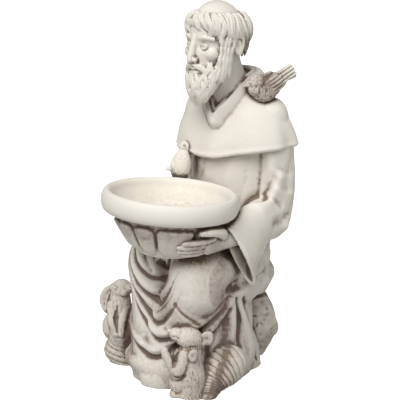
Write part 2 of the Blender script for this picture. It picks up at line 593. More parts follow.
# Upper body and sleeves
sleeveForm = {
    "cuffFlare": 0.13,
    # Upper arm: x, y, z, half width, half thickness
    "arm": [(50, 0, 336, 26, 26), (57, 2, 300, 25, 28), (60, 2, 250, 25, 29), (60, -3, 208, 24, 27)],
    # Forearm to the cuff's edge, then back inside the cuff: x, y, z, half width, half height, lean in degrees
    "forearm": [(57, 5, 204, 22, 25, 0), (61, -12, 205, 24, 29, 2), (63, -44, 206, 24, 29, 8),
                (70, -80, 195, 20, 36, 18), (80, -110, 178, 12.5, 47, 27)],
    "insideCuff": [(80, -112, 177, 8.5, 43.5, 27), (78, -98, 184, 7.5, 36, 24), (72, -80, 193, 5.5, 22, 20)],
    "folds": (
        (4.0, 8, ((84, -20, 262), (80, -34, 240), (72, -56, 226))),
        (-3.2, 7, ((74, -24, 262), (66, -38, 244), (58, -50, 236))),
        (-3.0, 7, ((84, 0, 212), (86, -20, 206), (84, -38, 206))),
        (4.0, 8, ((84, -6, 196), (88, -34, 184), (90, -62, 170))),
        (-2.8, 7, ((86, -18, 190), (88, -44, 178), (88, -66, 160))),
        (-2.4, 8, ((84, 8, 286), (84, -2, 262), (82, -6, 240))),
        (3.5, 9, ((60, -26, 320), (70, -24, 290), (74, -26, 262))),
        (-1.5, 4.5, ((80, -22, 276), (84, -6, 268), (84, 8, 266))),
        (-1.3, 4.5, ((84, -16, 228), (86, 0, 222), (84, 12, 224))),
        (1.8, 4.5, ((78, -30, 252), (84, -14, 240), (84, 6, 238))),
    ),
    "pits": ((-1.2, 9, (80, -22, 258)), (-1.0, 8, (84, -30, 210)), (-2.0, 9, (62, -44, 236))),
}
tunicForm = {
    "chest": [(92, -2, 6, 40, 36), (118, -2, 6, 45, 40), (150, -2, 1, 47, 46), (190, 0, -2, 53, 50),
              (230, 0, -4, 57, 49), (280, 0, -3, 62, 48), (330, 0, -2, 62, 42), (362, 0, -6, 36, 28)],
    "folds": ((-1.0, 6, ((46, -40, 286), (42, -46, 250), (30, -48, 216))),
              (1.2, 9, ((24, -48, 288), (20, -50, 250), (8, -50, 222))),
              (-0.9, 5, ((-14, -50, 286), (-20, -50, 262), (-30, -47, 240)))),
    "backFoldTurns": (140, 165, 195, 222), "backFoldDepth": 2.0, "backFoldWidth": 5,
    "uneven": (0.4, 20, 0.10, 3.5),
}


# Sleeve: an upper arm tube and a forearm whose ellipses lean and widen to the cuff and then turn back inside it
def sleeveShell():
    rows = np.array(sleeveForm["forearm"] + sleeveForm["insideCuff"], float)
    edge = len(sleeveForm["forearm"])
    path = np.vstack([smoothPath(rows[:edge], 44), smoothPath(rows[edge - 1:], 20)[1:]])
    lean = np.radians(path[:, 5])
    upright = np.stack([0 * lean, -np.sin(lean), np.cos(lean)], -1)
    turn = np.linspace(0, 2 * np.pi, 56, endpoint=False)
    flare = np.clip((-path[:, 1] - 60) / 50, 0, 1) * sleeveForm["cuffFlare"]
    upright[:, 0] -= flare
    sideways = np.array((1.0, 0.0, 0.0)) * path[:, 3:4]
    rings = path[:, None, :3] - sideways[:, None] * np.cos(turn)[None, :, None]
    rings = rings + (upright * path[:, 4:5])[:, None] * np.sin(turn)[None, :, None]
    points, normals, quads = fuse("sleeve_form", [limb(sleeveForm["arm"], around=36), loft(rings)], cells["upper"])
    return points + normals * carving(points, normals, sleeveForm)[:, None], quads.tolist()


# Tunic: stacked ellipses fused with both sleeves, with folds in front and upright grooves down the back
def upperPiece():
    sleeve = sleeveShell()
    forms = [ringStack(tunicForm["chest"]), sleeve, mirrored(sleeve)]
    points, normals, quads = fuse("upper_form", forms, cells["upper"], 2)
    lift = carving(points, normals, tunicForm)
    for turn in np.radians(tunicForm["backFoldTurns"]):
        x, y = 56 * np.sin(turn), -4 - 50 * np.cos(turn)
        path = ((x, y, 290), (x * 0.96, y, 220), (x * 0.9, y, 150))
        lift -= tunicForm["backFoldDepth"] * nearPath(points, normals, path, tunicForm["backFoldWidth"])
    lift += unevenness(points, tunicForm["uneven"], 31)
    makePiece("tunic_and_sleeves", points + normals * lift[:, None], quads, "cloth")


# Bowl
bowlForm = {
    "centre": np.array((2.0, -149.0, 260.0)), "radius": 86.7, "depth": 42.0, "rimWidth": 14.5, "rimHeight": 27.0,
    "overhang": 18.0, "cupHeight": 78.0, "narrowing": 0.48, "relief": 8.0, "groove": 2.4, "tiltSide": 2.8,
    "tiltBack": -2.9, "lip": 7.0, "dishCurve": 4.0, "widePetal": (21.0, 66.0), "petalStep": 24.0, "fingerSink": 0.5,
    "around": 440, "recessRough": 1.1, "uneven": (0.22, 26, 0.07, 4),
}


# Turn of the whole bowl about its middle
def bowlTilt():
    return turning(bowlForm["tiltBack"], bowlForm["tiltSide"], 0)


# Radius of the cup at a drop under the rim's top: it narrows by a power of the way down
def cupRadius(drop):
    part = np.clip((drop - bowlForm["rimHeight"]) / (bowlForm["cupHeight"] - bowlForm["rimHeight"]), 0, 1)
    mouth = bowlForm["radius"] - bowlForm["overhang"]
    return mouth * (1 - bowlForm["narrowing"] * part ** 1.1)


# Turned profile of dish, rolled rim and cup; the petals swell it by a relief that falls to nothing in the grooves
def bowlPiece():
    form = bowlForm
    dish = np.linspace(0, 1, 26)[1:]
    floorHeight = -form["depth"] + (form["depth"] - form["lip"]) * dish ** form["dishCurve"]
    roll = np.linspace(np.pi - np.arcsin(1 - 2 * form["lip"] / form["rimHeight"]), -np.pi * 0.5, 32)[1:]
    rollRadius = form["radius"] - form["rimWidth"] / 2 + form["rimWidth"] / 2 * np.cos(roll)
    rollHeight = -form["rimHeight"] / 2 + form["rimHeight"] / 2 * np.sin(roll)
    drop = np.linspace(form["rimHeight"], form["cupHeight"], 56)
    lipRadius = rollRadius[0] - 0.4
    radius = np.concatenate([lipRadius * dish, rollRadius, cupRadius(drop)])
    height = np.concatenate([floorHeight, rollHeight, -drop])
    turn = np.linspace(0, 2 * np.pi, form["around"], endpoint=False)
    firstEdge = form["widePetal"][1]
    edges = np.append(firstEdge + form["petalStep"] * np.arange(13), form["widePetal"][0] + 360)
    degrees = (np.degrees(turn) - firstEdge) % 360 + firstEdge
    toEdge = np.radians(np.abs(degrees[:, None] - np.append(edges, firstEdge + 360)).min(1))
    toEdge = toEdge * form["radius"] * (1 - form["narrowing"] / 2)
    down = np.clip((drop - form["rimHeight"]) / (form["cupHeight"] - form["rimHeight"]), 0, 1)[:, None]
    fall = 1 - np.exp(-(toEdge / form["groove"]) ** 2)
    corner = 0.26 * np.exp(-toEdge / (2.4 * form["groove"]))
    lowEnd = np.sqrt(np.clip((0.95 - corner - down) * 8, 0, 1))
    topEnd = np.clip((down - 0.14 - 0.14 * np.exp(-toEdge / 3.0)) * 12, 0, 1) ** 0.5
    crown = 0.82 + 0.18 * np.sin(np.pi * np.clip(down, 0, 1)) * (1 - np.exp(-toEdge / 9))
    swell = np.vstack([np.zeros((len(radius) - len(drop), len(turn))), form["relief"] * fall * lowEnd * topEnd * crown])
    reach = radius[:, None] + swell
    rings = np.stack([reach * np.sin(turn), -reach * np.cos(turn), np.broadcast_to(height[:, None], reach.shape)], -1)
    points, faces = loft(withEnds(rings[::-1], 20))
    across = np.hypot(points[:, 0], points[:, 1])
    recess = np.exp(-((points[:, 2] + form["rimHeight"] + 4) / 4) ** 2) * (across < form["radius"] - 10)
    outward = points * (1, 1, 0) / np.maximum(across, 1)[:, None]
    rough = form["recessRough"] * recess * layeredNoise(points, (5, 5, 3), 41) + unevenness(points, form["uneven"], 42)
    points = points + outward * rough[:, None] * np.clip(across / 20, 0, 1)[:, None]
    makePiece("bowl", points @ bowlTilt().T + form["centre"], faces, "bowl")


# Hands
handForm = {
    "hiddenBack": 24, "tips": (54, 49, 51, 58), "level": 213.0, "step": 5.6, "knuckleDeg": 88,
    # Along a finger from the knuckle: drop, lift off the petals and half width
    "drops": (0, -1.6, -2.6, -3.2, -3.8, -4.2), "lifts": (4.6, 4.6, 4.2, 3.8, 3.0, 2.0),
    "wide": (4.7, 4.3, 4.5, 4.0, 4.1, 3.4), "grit": 0.08,
}


# Point on the outside of the petals at a turn from the front towards the left, a height and a lift off them
def onCup(turnDeg, height, lift):
    reach = cupRadius(bowlForm["centre"][2] - height) - bowlForm["fingerSink"] + bowlForm["relief"] + lift
    turn = np.radians(turnDeg)
    level = height - bowlForm["centre"][2]
    return np.array((reach * np.sin(turn), -reach * np.cos(turn), level)) @ bowlTilt().T + bowlForm["centre"]


# Palm, four fingers with nails and a thumb as tubes laid round the cup; the right hand is the left one mirrored
def handForms(side):
    back = handForm["hiddenBack"] if side < 0 else 0

    def held(turnDeg, height, lift):
        return onCup(side * (turnDeg + back), height, lift) * np.array((side, 1, 1))

    palm, knuckles = held(106, 208, 7), held(84, 205, 5)
    forms = [limb([(70, -84, 194, 12, 11), (74, -104, 203, 12, 10), (*palm, 15, 9), (*knuckles, 13.5, 6.6)],
                  side=(0, 0, 1), around=30)]
    for number, tip in enumerate(handForm["tips"]):
        level = handForm["level"] - handForm["step"] * number
        turns = np.linspace(handForm["knuckleDeg"], tip, len(handForm["drops"]))
        rows = [(*held(turn, level + drop, lift), half, half * 1.12)
                for turn, drop, lift, half in zip(turns, handForm["drops"], handForm["lifts"], handForm["wide"])]
        forms.append(limb(rows, side=(0, 0, 1), around=16, along=34))
        nail = held(tip - 0.5, level - 4.2, 4.3)
        forms.append(ball(nail, (2.9, 1.2, 2.4), (0, 0, tip), around=14, rows=8))
    thumb = [(*held(106, 214, 7), 8, 7), (*held(94, 220, 7), 6.6, 6.4), (*held(84, 223, 6), 5.4, 5.8),
             (*held(76, 224, 5), 5.3, 5.4), (*held(69, 223.5, 3.6), 4.2, 4.4)]
    forms.append(limb(thumb, side=(0, 0, 1), around=18, along=34))
    forms.append(ball(held(69.5, 225, 7), (3.8, 1.2, 3.0), (10, 0, 68), around=14, rows=8))
    return [mirrored(form) for form in forms] if side < 0 else forms


# Both hands fused, with a fine grit
def handsPiece():
    points, normals, quads = fuse("hand_form", handForms(1) + handForms(-1), cells["hands"], 2)
    lift = handForm["grit"] * layeredNoise(points, 3, 51)
    makePiece("hands", points + normals * lift[:, None], quads, "skin")


# Lap and skirt of the robe
robeForm = {
    "shinAxis": np.array((-8.0, -76.0)),
    # Turn and height of a swag's lowest point, its rise to the right and to the left, ridge and groove depth
    "swags": ((-9, 141, 0.060, 0.13, 3.6, 6.0), (-5, 114, 0.050, 0.08, 3.8, 5.2), (-3, 90, 0.056, 0.07, 4.0, 5.2),
              (0, 68, 0.050, 0.03, 4.2, 5.2), (-10, 42, 0.030, 0.03, 4.5, 5.5), (-6, 103, 0.050, 0.07, 1.0, 1.6)),
    "folds": (
        (5.0, 7, ((58, -118, 128), (62, -92, 122), (62, -58, 124), (56, -26, 138))),
        (-6.0, 6, ((60, -112, 132), (66, -96, 130), (66, -84, 132))),
        (-5.0, 3.5, ((57, -112, 108), (48, -134, 92), (34, -152, 74))),
        (-5.0, 4, ((60, -104, 104), (54, -124, 76), (46, -132, 50))),
        (-5.5, 4, ((58, -90, 112), (60, -82, 84), (58, -78, 44), (54, -76, 8))),
        (-5.0, 4, ((56, -72, 110), (58, -52, 78), (56, -34, 44), (54, -20, 12))),
        (-3.5, 5, ((-44, -150, 190), (-34, -158, 168), (-22, -160, 156), (-8, -160, 150))),
        (-1.8, 3, ((20, -168, 120), (34, -164, 104), (46, -150, 92))),
        (-1.6, 3, ((0, -160, 90), (14, -160, 72), (20, -156, 50))),
    ),
    "pits": ((-8.0, (9, 16, 15), (42, -136, 66)), (-3.5, (10, 12, 7), (62, -104, 134))),
    "skirt": [(-12, -13, -80, 67, 72), (2, -13, -80, 70, 76), (12, -15, -80, 76, 80), (25, -17, -81, 82, 83),
              (34, -15, -80, 77, 80), (50, -13, -79, 72, 77), (72, -11, -77, 69, 75), (110, -8, -74, 64, 70),
              (150, -4, -66, 62, 64), (176, -2, -60, 58, 62), (192, 0, -54, 48, 50)],
    "softCell": 2.4, "softening": 16, "uneven": (0.6, 18, 0.14, 3.5),
    # Thick folds that fan out from the gather under the left thigh: x, y, z, half width, half thickness
    "fanFolds": (
        ((58, -104, 112, 8, 8), (45, -136, 98, 9, 8), (28, -156, 80, 8, 7), (12, -160, 66, 5, 5)),
        ((58, -104, 106, 7, 7), (51, -130, 86, 7, 7), (38, -146, 66, 5, 5)),
        ((58, -98, 110, 7, 8), (58, -96, 80, 7, 8), (54, -98, 44, 7, 8), (50, -98, 6, 8, 9)),
        ((56, -84, 110, 8, 8), (58, -68, 76, 8, 9), (56, -54, 40, 10, 10), (45, -47, 4, 10, 11)),
    ),
}


# Grooves and ridges of the folds that hang in a U between the knees, measured round the shins' axis
def swagLift(points, normals):
    axis = robeForm["shinAxis"]
    turn = np.degrees(np.arctan2(points[:, 0] - axis[0], axis[1] - points[:, 1]))
    height = points[:, 2]
    lift = np.zeros(len(points))
    for middle, bottom, riseRight, riseLeft, ridgeHeight, grooveDepth in robeForm["swags"]:
        across = turn - middle
        hang = bottom + np.where(across < 0, riseRight, riseLeft) * across ** 2
        ends = np.exp(-np.clip(-across - 12, 0, None) / 30 - (np.clip(across - 6, 0, None) / 11) ** 2)
        ridge = ridgeHeight * np.exp(-((height - hang - 8) / 6.5) ** 2)
        groove = grooveDepth * np.exp(-((height - hang + 2) / 4.0) ** 2)
        lift += (ridge - groove) * ends
    pit = np.exp(-((turn + 8) / 7) ** 2 - ((height - 155) / 13) ** 2)
    return (lift - 5 * pit) * np.clip(-normals[:, 1] * 1.5, 0, 1)


# Robe: skirt, legs and hanging cloth fused coarsely and softened, fused again finely, then carved with the folds
def robePiece():
    forms = [
        ringStack(robeForm["skirt"], around=120, power=2.4),
        # Left and right thigh, left and right shin
        limb([(26, -8, 150, 30, 30), (30, -70, 150, 32, 32), (34, -128, 152, 37, 36), (32, -136, 134, 36, 34)]),
        limb([(-28, -8, 156, 32, 34), (-40, -70, 162, 30, 32), (-49, -118, 164, 28, 32), (-45, -127, 130, 26, 30)]),
        limb([(30, -134, 146, 37, 36), (15, -138, 108, 32, 30), (-4, -136, 78, 31, 28), (-14, -130, 40, 32, 30),
              (-18, -126, -6, 34, 32)]),
        limb([(-45, -128, 140, 27, 28), (-43, -127, 100, 28, 28), (-42, -122, 40, 32, 34), (-42, -118, -6, 34, 34)]),
        # Hem heaped on the feet and at the right side
        limb([(-26, -118, 26, 27, 20), (-17, -145, 8, 30, 22)]),
        limb([(-66, -96, 14, 22, 20), (-44, -122, 12, 24, 20), (-18, -142, 9, 27, 21)]),
        # Roll of cloth under the left thigh, the cloth that hangs at the left, and the lap
        limb([(44, -108, 128, 12, 12), (52, -62, 113, 13, 12), (50, -14, 120, 12, 12)], side=(0, 0, 1)),
        limb([(36, -62, 104, 12, 16), (34, -46, 60, 14, 22), (33, -30, 24, 17, 27), (32, -25, -8, 19, 29)]),
        limb([(0, -70, 176, 50, 18), (0, -134, 176, 52, 16)]),
    ]
    forms += [limb(rows, around=16) for rows in robeForm["fanFolds"]]
    points, normals, quads = fuse("robe_soft", forms, robeForm["softCell"], robeForm["softening"])
    points, normals, quads = fuse("robe_form", [(points, quads.tolist())], cells["lower"], 4)
    lift = swagLift(points, normals) + carving(points, normals, robeForm)
    lift += unevenness(points, robeForm["uneven"], 61)
    makePiece("robe", points + normals * lift[:, None], quads, "cloth", onFloor=True)


# Rock that the figure sits on
rockForm = {
    # Per block: levels of its rings, phase of its ripple, middle and radii that the chisel works from, cuts and seed
    "blocks": (
        ([(-12, -10, 20, 36, 28), (10, -8, 21, 40, 31), (35, -4, 23, 46, 35), (62, -1, 24, 50, 36),
          (82, -1, 24, 48, 34), (98, -2, 20, 38, 27)], 1.0, (-3, 23, 44), (52, 38, 56), 46, 6),
        ([(84, -2, 18, 40, 28), (100, -2, 19, 46, 31), (122, -2, 19, 45, 30), (142, -3, 16, 34, 24)],
         4.0, (-2, 19, 114), (48, 33, 32), 34, 9)),
    "lump": 1.2, "chip": 0.4, "crack": 1.8, "crackWidth": 0.045,
}


# Swell of a block's radius: three sines of the turn, two of which drift with the height
def rockRipple(phase):
    def ripple(turn, height):
        return 0.035 * np.sin(3 * turn + phase) + 0.03 * np.sin(5 * turn + height / 14 + phase * 2) \
            + 0.02 * np.sin(8 * turn - height / 9 + phase)
    return ripple


# Chiselled facets: what stands out over a plane, set at a share of the block's reach that way, is pressed down to it
def chiselled(shell, centre, radii, count, seed):
    random = np.random.default_rng(seed)
    points, faces = shell
    for facing in unitRows(random.normal(size=(count, 3)) * (1, 1, 0.8)):
        reach = np.linalg.norm(np.array(radii) * facing) * random.uniform(0.88, 1.0)
        over = np.clip((points - centre) @ facing - reach, 0, None)
        points = points - 0.9 * over[:, None] * facing
    return points, faces


# Rock: both blocks fused, with lumps, chips along the zero lines of a noise, and cracks in patches
def rockPiece():
    forms = [chiselled(ringStack(levels, around=140, power=2.8, ripple=rockRipple(phase)), middle, radii, count, seed)
             for levels, phase, middle, radii, count, seed in rockForm["blocks"]]
    points, normals, quads = fuse("rock_form", forms, cells["rock"], 2)
    lift = rockForm["lump"] * np.tanh(1.6 * layeredNoise(points, (26, 26, 20), 71, 2))
    lift += rockForm["chip"] * (1 - 2 * np.abs(layeredNoise(points, (12, 12, 7), 72, 2)))
    crack = np.exp(-(layeredNoise(points, (24, 24, 10), 73, 2) / rockForm["crackWidth"]) ** 2)
    crack = crack * np.clip(4 * latticeNoise(points, (15, 15, 8), 74) - 0.8, 0, 1)
    lift -= rockForm["crack"] * crack
    makePiece("rock", points + normals * lift[:, None], quads, "rock", onFloor=True)


# Rabbit and its tuft

# Fur: short strokes made by noise that is long down the body and narrow across it
def furLift(points, depth, seed):
    slanted = points @ turning(0, 12, 0).T
    strokes = layeredNoise(slanted, (2.0, 2.0, 8.0), seed, 2)
    return depth * (1 - 2 * np.abs(strokes)) + 0.3 * depth * latticeNoise(points, 5, seed + 5)


rabbitForm = {
    "fur": 0.36, "smoothFace": (0.7, (-97, -119, 106), (10, 9, 11)),
    # Mouth, closed eye, fold of the ear, and the lines round both forelegs
    "folds": ((-1.2, 1.1, ((-90, -112, 104), (-92, -116, 102), (-96, -120, 101))),
              (-1.2, 1.1, ((-107.5, -127, 113.5), (-104, -128.5, 114), (-101, -128, 112))),
              (-1.3, 3.4, ((-122, -118, 100), (-129, -120, 92), (-130, -121, 80))),
              (-2.2, 2.8, ((-122, -124, 70), (-114, -131, 62), (-108, -134, 50))),
              (-2.0, 2.0, ((-102, -128, 84), (-101, -132, 66), (-97, -134, 52)))),
}


# Rabbit: ellipsoids and tubes fused, with fur that fades on the face
def rabbitPiece():
    forms = [
        # Head, muzzle, nose, cheek and eye
        ball((-105, -114, 105), (14, 13.5, 13), (0, -20, 35)),
        ball((-96, -113, 106), (8.5, 8.5, 7.6), (0, -20, 35)),
        ball((-89, -114.5, 108.5), (2.6, 3.4, 2.2), (0, -20, 35)),
        ball((-95, -121.5, 103), (5.2, 4, 4.8), (0, 0, 35)),
        ball((-104.5, -127, 110), (2.5, 2.0, 2.7)),
        # Body, hind leg and belly
        limb([(-107, -114, 96, 13, 13), (-106, -115, 76, 16, 15), (-106, -113, 54, 18, 17), (-106, -112, 38, 20, 18)]),
        ball((-119, -113, 50), (15, 17, 20)),
        ball((-99, -121, 45), (12, 12, 14)),
        # Forelegs, ear, and the joint to the robe
        limb([(-112, -124, 84, 7.5, 7), (-107, -132, 66, 6.2, 6), (-99, -133, 49, 5.4, 5)], around=16),
        limb([(-98, -116, 82, 7, 7), (-94, -127, 66, 6, 5.8), (-93, -131, 49, 5.2, 5)], around=16),
        limb([(-116, -112, 106, 6, 4.5), (-127, -114, 96, 8.5, 4.8), (-131, -115, 83, 9, 5), (-128, -116, 71, 5, 3.5)],
             side=(1, 0.3, 0.3), around=18),
        limb([(-98, -104, 64, 18, 18), (-80, -94, 44, 22, 26)]),
    ]
    points, normals, quads = fuse("rabbit_form", forms, cells["rabbit"], 2)
    plain, faceMiddle, faceRadius = rabbitForm["smoothFace"]
    lift = furLift(points, rabbitForm["fur"], 81) * (1 - plain * nearPlace(points, faceMiddle, faceRadius))
    lift += carving(points, normals, rabbitForm)
    makePiece("rabbit", points + normals * lift[:, None], quads, "fur")


tuftForm = {
    "levels": [(-10, -108, -101, 16, 16), (0, -109, -101, 20, 19), (8, -111, -102, 23.5, 22),
               (16, -112, -104, 23.5, 22), (26, -111, -107, 20, 19), (38, -109, -110, 14, 14)],
    "ribDepth": 0.10, "ribStep": 8.5, "ribWave": 2.2, "fineRib": 0.012, "grit": 0.25,
}


# Tuft: stacked ellipses whose radius swells with wavy ribs, a round-topped sine of the height
def tuftPiece():
    def ribs(turn, height):
        wavy = height * np.pi / tuftForm["ribStep"] + tuftForm["ribWave"] * np.sin(turn + 0.2)
        return tuftForm["ribDepth"] * np.abs(np.sin(wavy)) ** 0.6 + tuftForm["fineRib"] * np.sin(23 * turn + height)

    points, faces = ringStack(tuftForm["levels"], around=160, count=90, ripple=ribs, ends=10)
    points[:, :2] += tuftForm["grit"] * np.stack([layeredNoise(points, 4, 85), layeredNoise(points, 4, 86)], -1)
    makePiece("tuft", points, faces, "fur", onFloor=True)


# Squirrel
squirrelForm = {
    "fur": 0.36, "smoothFace": (0.75, (27, -171, 80), (14, 11, 12)),
    # Insides of both ears
    "pits": ((-2.6, (5, 4.5, 5), (58.5, -152, 77.5)), (-2.4, (3.8, 4, 6), (52.5, -174.5, 59.5))),
    # Closed eye, inside of the raised foreleg, mouth, and the line over the hind leg
    "folds": ((-1.2, 1.1, ((25, -175.5, 81.5), (29, -177, 82), (32, -176, 80))),
              (-2.6, 2.2, ((30, -178, 64), (26, -180, 54), (30, -184, 44))),
              (-1.1, 1.0, ((17, -176, 81), (22, -178, 77), (28, -176, 73))),
              (-1.8, 2.2, ((40, -174, 32), (34, -178, 26), (24, -178, 24), (16, -172, 26)))),
}


# Squirrel: ellipsoids and tubes fused, with fur that fades on the face
def squirrelPiece():
    forms = [
        # Head, muzzle, nose, and both ears with their roots
        ball((37, -160, 77), (18, 15.5, 14.5), (0, 20, 35)),
        ball((26, -169, 82), (10.5, 9.5, 8.8), (0, 20, 35)),
        ball((18, -175, 87), (2.8, 2.6, 2.4)),
        ball((57, -148, 77), (9.2, 4.4, 9.2), (0, 0, 35)),
        ball((51, -170, 59), (6.2, 4.2, 9.6), (14, 10, 35)),
        limb([(48, -152, 70, 6, 5), (54, -149, 75, 6, 4)], around=14),
        limb([(45, -164, 66, 6, 5), (49, -169, 62, 5, 4)], around=14),
        # Eye, body and belly
        ball((28.5, -174.5, 78.5), (2.5, 2.3, 2.7)),
        limb([(39, -159, 68, 13, 13), (38, -159, 46, 15.5, 15), (38, -157, 24, 20, 19), (38, -156, -6, 20, 19)]),
        ball((28, -166, 18), (15, 14, 16)),
        # Forelegs with their paws, foot, and the joint to the robe
        limb([(38, -170, 58, 8, 8), (34, -178, 38, 7.4, 7.2), (25, -183, 46, 6.4, 6.2), (19, -185, 58, 5.6, 5.4)],
             around=18),
        ball((17, -185, 63), (5.2, 4.8, 5.2)),
        limb([(26, -163, 56, 7, 7), (17, -170, 42, 6.2, 6), (12, -175, 54, 5.2, 5)], around=18),
        ball((12, -175.5, 57.5), (4.6, 4.4, 4.8)),
        limb([(32, -166, 3, 8, 6), (23, -173, 3, 8, 6)], around=16),
        limb([(38, -148, 44, 12, 14), (26, -126, 40, 16, 18)]),
    ]
    points, normals, quads = fuse("squirrel_form", forms, cells["squirrel"], 2)
    plain, faceMiddle, faceRadius = squirrelForm["smoothFace"]
    lift = furLift(points, squirrelForm["fur"], 91) * (1 - plain * nearPlace(points, faceMiddle, faceRadius))
    lift += carving(points, normals, squirrelForm)
    makePiece("squirrel", points + normals * lift[:, None], quads, "fur", onFloor=True)


# Ribbed shell beside the squirrel
shellForm = {
    # Curve of its middle: x, y, z, radius
    "path": [(60, -90, 34, 16), (60, -104, 33, 25), (56, -121, 26, 25), (54, -136, 15, 19), (56, -145, 7, 15),
             (59, -150, 1, 12)],
    "rings": 300, "ribs": 14, "ribDepth": 0.085, "ribCrowding": 1.15, "grit": 0.22,
}


# A circle carried along a curve; its radius swells with each rib, and the ribs crowd towards the tip
def shellPiece():
    path = smoothPath(shellForm["path"], shellForm["rings"])
    along = np.linspace(0, 1, shellForm["rings"])
    rib = np.abs(np.sin(along ** shellForm["ribCrowding"] * np.pi * shellForm["ribs"])) ** 0.6
    path[:, 3] *= 1 + shellForm["ribDepth"] * (rib - 0.6)
    points, faces = limb(np.column_stack([path, path[:, 3]]), around=110, along=shellForm["rings"])
    points = points + shellForm["grit"] * np.stack([layeredNoise(points, 5, 95 + axis) for axis in range(3)], -1)
    makePiece("ribbed_shell", points, faces, "fur", onFloor=True)


# Birds
birdForm = {
    # On the shoulder: start and way of its tail, strength of tail feathers, barbs and down, line of the beak
    "tailStart": (49, -14, 374), "tailWay": (24.0, 29.0, 24.0), "tailSide": (-0.4, -0.3, 0.85),
    "tailFeathers": 1.0, "barbs": 0.25, "down": 0.6,
    "folds": ((-0.8, 0.9, ((36, -37, 380), (41, -33, 382), (45, -34, 382))),),
    # On the bowl: middle and radii of its wing, strength of wing feathers and down
    "wing": ((-50, -72, 272), (9, 12, 8)), "wingFeathers": 0.5, "smallDown": 0.35,
}


# Small rounded marks of down: an upturned noise whose zero lines stand up
def downLift(points, cell, seed):
    return 1 - 2 * np.abs(layeredNoise(points, cell, seed, 2))


# Bird on the shoulder: body, tail, head, beak, wings and eye fused; the tail is ridged along its way
def shoulderBirdPiece():
    forms = [
        limb([(46, -24, 375, 10, 10), (50, -14, 371, 15, 15), (58, -3, 378, 12, 12), (66, 7, 386, 8, 7)],
             around=30, along=40),
        limb([(58, -4, 380, 8, 7), (66, 7, 389, 9, 5), (74, 17, 396, 10, 3.5)], side=birdForm["tailSide"], around=30),
        ball((46, -24, 384), (10, 10, 9.5)),
        limb([(40, -31, 382, 4.0, 4.0), (36, -36, 379, 1.8, 1.8)], around=12, along=10),
        ball((61, -9, 381), (7.5, 15, 9), (30, 0, -40)),
        ball((47, -1, 383), (7.5, 15, 9), (30, 0, -40)),
        ball((50.5, -32, 386), (1.8, 1.8, 2.0)),
    ]
    points, normals, quads = fuse("shoulder_bird_form", forms, cells["bird"], 2)
    fromStart = points - np.array(birdForm["tailStart"])
    along = fromStart @ unitRows(np.array(birdForm["tailWay"]))
    across = fromStart @ unitRows(np.array(birdForm["tailSide"]))
    tail = np.clip((along - 6) / 8, 0, 1)
    lift = birdForm["tailFeathers"] * tail * ridges(across * 1.4, 0.7)
    lift += birdForm["barbs"] * tail * np.sin(along * 2.2 + np.abs(across) * 1.5)
    lift += birdForm["down"] * (1 - tail) * downLift(points, (3.2, 3.2, 4.2), 101)
    lift += carving(points, normals, birdForm)
    makePiece("shoulder_bird", points + normals * lift[:, None], quads, "fur")


# Bird on the bowl: head, beak, body, tail, wing and eye fused; the wing is ridged by its height
def bowlBirdPiece():
    forms = [
        ball((-42, -56, 294), (8, 8.5, 8)),
        limb([(-40, -61, 297, 2.2, 2.2), (-37, -66, 300, 1, 1)], around=12, along=10),
        limb([(-42, -57, 290, 7, 7), (-42, -62, 280, 12, 12), (-43, -65, 269, 14, 13), (-44, -64, 258, 12, 11),
              (-44, -62, 250, 6, 6)], around=30, along=40),
        limb([(-46, -70, 268, 7, 4.5), (-57, -77, 267, 3, 1.8)], around=14, along=14),
        ball((-50, -71, 273), (3.6, 10, 7), (20, 0, 30)),
        ball((-38.2, -62.6, 294.6), (1.3, 1.3, 1.4)),
    ]
    points, normals, quads = fuse("bowl_bird_form", forms, cells["bird"], 2)
    wing = nearPlace(points, *birdForm["wing"])
    lift = birdForm["wingFeathers"] * wing * ridges(points[:, 2] * 1.9, 0.7)
    lift += birdForm["smallDown"] * (1 - wing) * downLift(points, (2.4, 2.4, 3.2), 111)
    makePiece("bowl_bird", points + normals * lift[:, None], quads, "fur")


# Wash in the recesses, kept on each piece's points
washForm = {
    "gridCell": 0.002, "nearReach": 0.005, "farReach": 0.013, "curveSteps": 18, "floorSkin": 0.0004,
    "shutNear": 1.2, "shutFar": 0.7, "lowDown": 0.32, "lowDownTop": 250, "deepestHollow": 0.6, "edgeGain": 1.6,
    "margin": 0.03,
    # How much of the wash a hollow of one unit keeps on each finish
    "hollowGain": {"skin": 1.9, "cloth": 1.2, "bowl": 0.3, "rock": 1.1, "fur": 1.0},
    # Place on the figure's grid, radius and strength of a patch where more of the wash was left
    "patches": {
        "tunic_and_sleeves": (((78, -20, 258), 14, 0.2), ((58, -46, 236), 15, 0.3), ((46, -42, 262), 14, 0.15),
                              ((86, -28, 208), 12, 0.2), ((80, -112, 160), 22, 0.3), ((-30, -46, 262), 16, 0.3)),
        "robe": (((66, -100, 136), 16, 0.45), ((-4, -156, 146), 14, 0.5), ((52, -136, 98), 16, 0.35),
                 ((20, -158, 60), 16, 0.3), ((-60, -140, 60), 18, 0.3), ((6, -160, 112), 18, 0.5),
                 ((48, -150, 176), 20, 0.35)),
        "head": (((28, -32, 437), 15, 0.7), ((26, -6, 424), 20, 0.8), ((10, -2, 448), 16, 0.4),
                 ((-2, -45, 487), 24, 0.3), ((-6, -88, 388), 24, -0.22)),
        "bowl": (((2, -149, 225), 62, 0.36), ((2, -149, 262), 46, -0.3)),
        "shoulder_bird": (((52, -12, 378), 28, 0.55),),
        "cape_and_hood": (((-70, -20, 320), 20, 0.25), ((40, 0, 366), 14, 0.5), ((-10, -58, 345), 10, 0.3)),
    },
}


